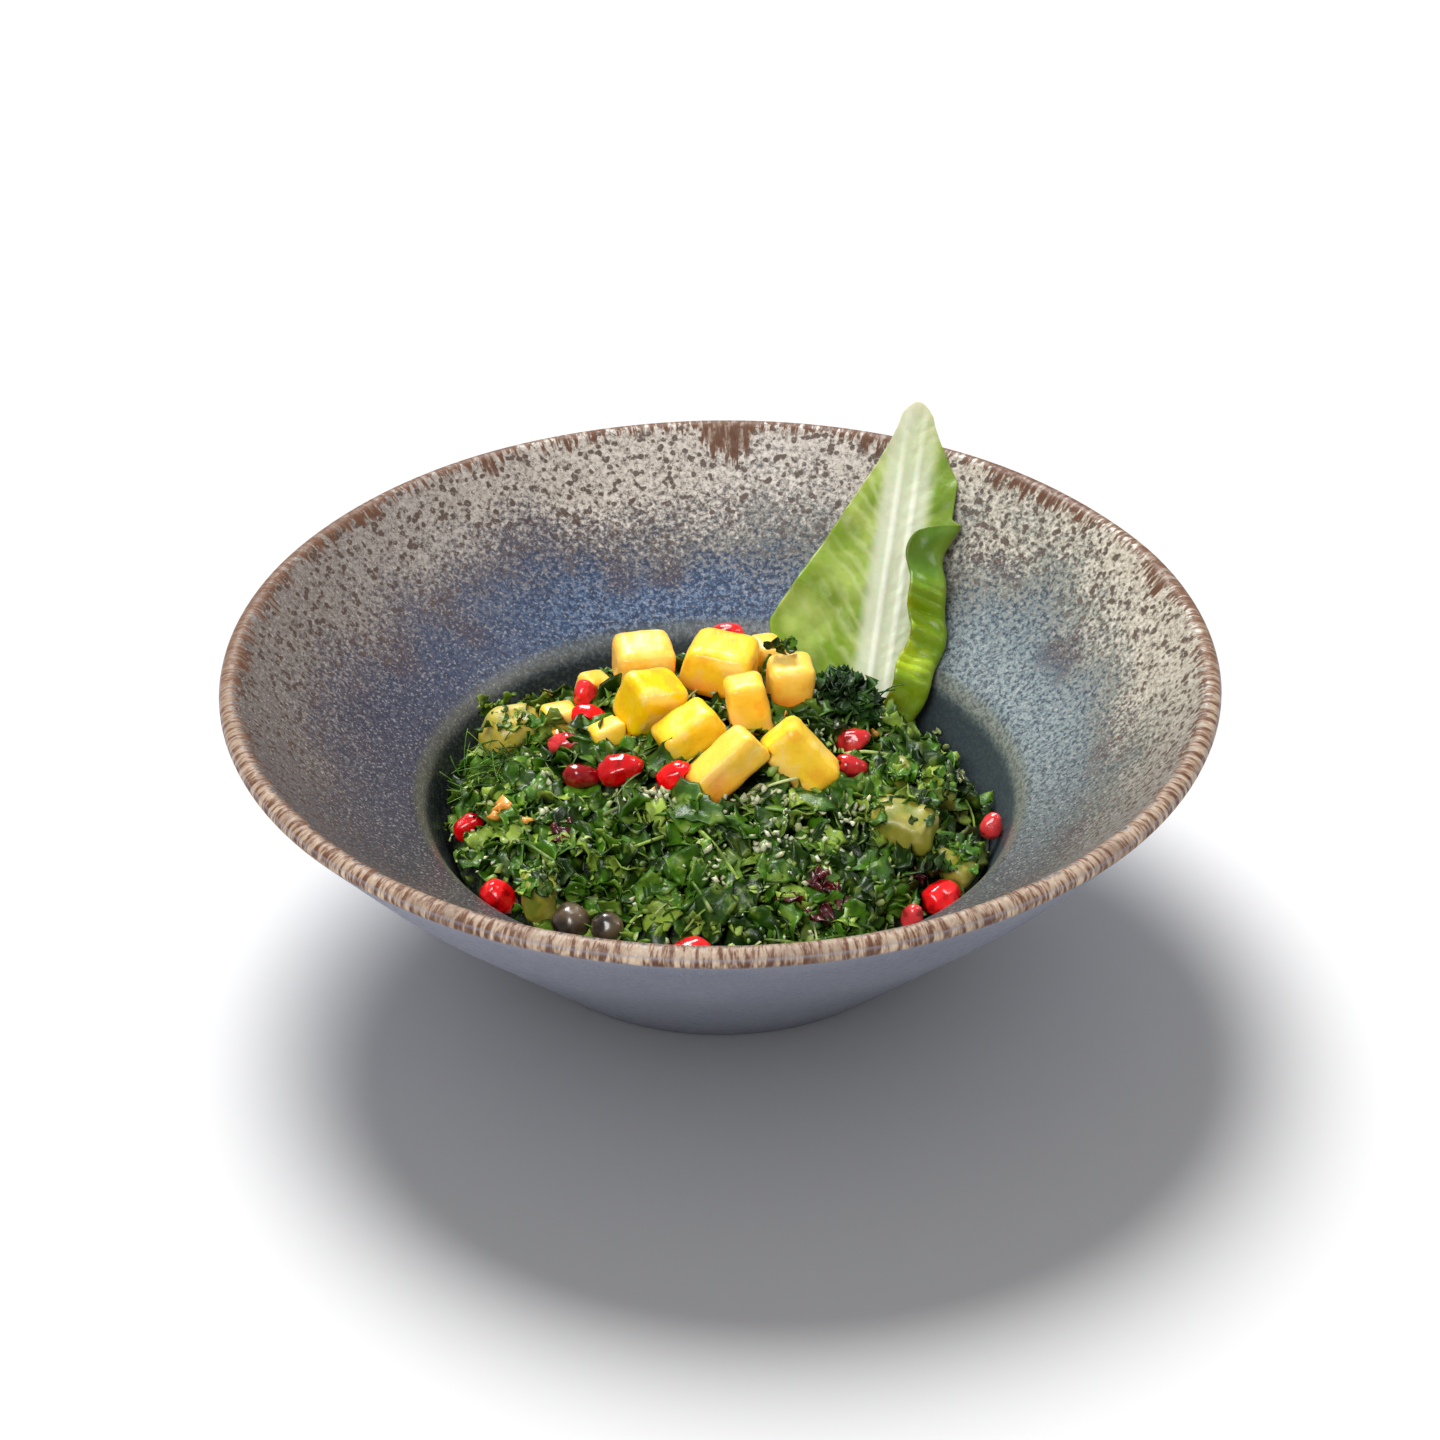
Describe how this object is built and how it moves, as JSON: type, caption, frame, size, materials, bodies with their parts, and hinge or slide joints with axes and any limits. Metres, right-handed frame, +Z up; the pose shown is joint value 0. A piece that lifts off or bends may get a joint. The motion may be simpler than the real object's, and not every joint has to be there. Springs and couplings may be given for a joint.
{
  "type": "tabbouleh salad in a bowl",
  "caption": "Tabbouleh salad with mango dice, pomegranate seeds, avocado and an upright lettuce leaf, in a wide-brimmed glazed stoneware bowl.",
  "frame": {"origin": "centre of the foot ring, on the surface it stands on", "axes": "+Z up out of the bowl, +X to the right and -Y to the front of the salad as served, with the lettuce leaf at the back right"},
  "size_m": [0.2504, 0.2504, 0.086],
  "materials": {
    "stoneware_glaze": "mottled reactive glaze, brown at the lip, cream speckled brim, blue lower brim",
    "chopped_herbs": "wet chopped parsley with pale grains",
    "lettuce": "crisp leaf, pale rib",
    "curly_parsley": "dark curled leaf",
    "mango": "wet cut fruit, yellow to orange",
    "pomegranate": "glossy translucent red",
    "grape_skin": "dark glossy skin",
    "avocado": "soft yellow-green flesh"
  },
  "bodies": {
    "root": {"bowl": "stoneware_glaze", "salad_heap": "chopped_herbs", "lettuce_leaf": "lettuce", "mango_die_1": "mango", "mango_die_2": "mango", "mango_die_3": "mango", "mango_die_4": "mango", "mango_die_5": "mango", "mango_die_6": "mango", "mango_die_7": "mango", "mango_die_8": "mango", "mango_die_9": "mango", "mango_die_10": "mango", "mango_die_11": "mango", "mango_die_12": "mango", "mango_die_13": "mango", "pomegranate_seed_1": "pomegranate", "pomegranate_seed_2": "pomegranate", "pomegranate_seed_3": "pomegranate", "pomegranate_seed_4": "pomegranate", "pomegranate_seed_5": "pomegranate", "pomegranate_seed_6": "pomegranate", "pomegranate_seed_7": "pomegranate", "pomegranate_seed_8": "pomegranate", "pomegranate_seed_9": "pomegranate", "pomegranate_seed_10": "pomegranate", "pomegranate_seed_11": "pomegranate", "pomegranate_seed_12": "pomegranate", "pomegranate_seed_13": "pomegranate", "pomegranate_seed_14": "pomegranate", "pomegranate_seed_15": "pomegranate", "grape_1": "grape_skin", "grape_2": "grape_skin", "avocado_chunk_1": "avocado", "avocado_chunk_2": "avocado", "avocado_chunk_3": "avocado", "avocado_chunk_4": "avocado", "avocado_chunk_5": "avocado", "avocado_chunk_6": "avocado", "parsley_sprig": "curly_parsley"}
  },
  "joints": []
}
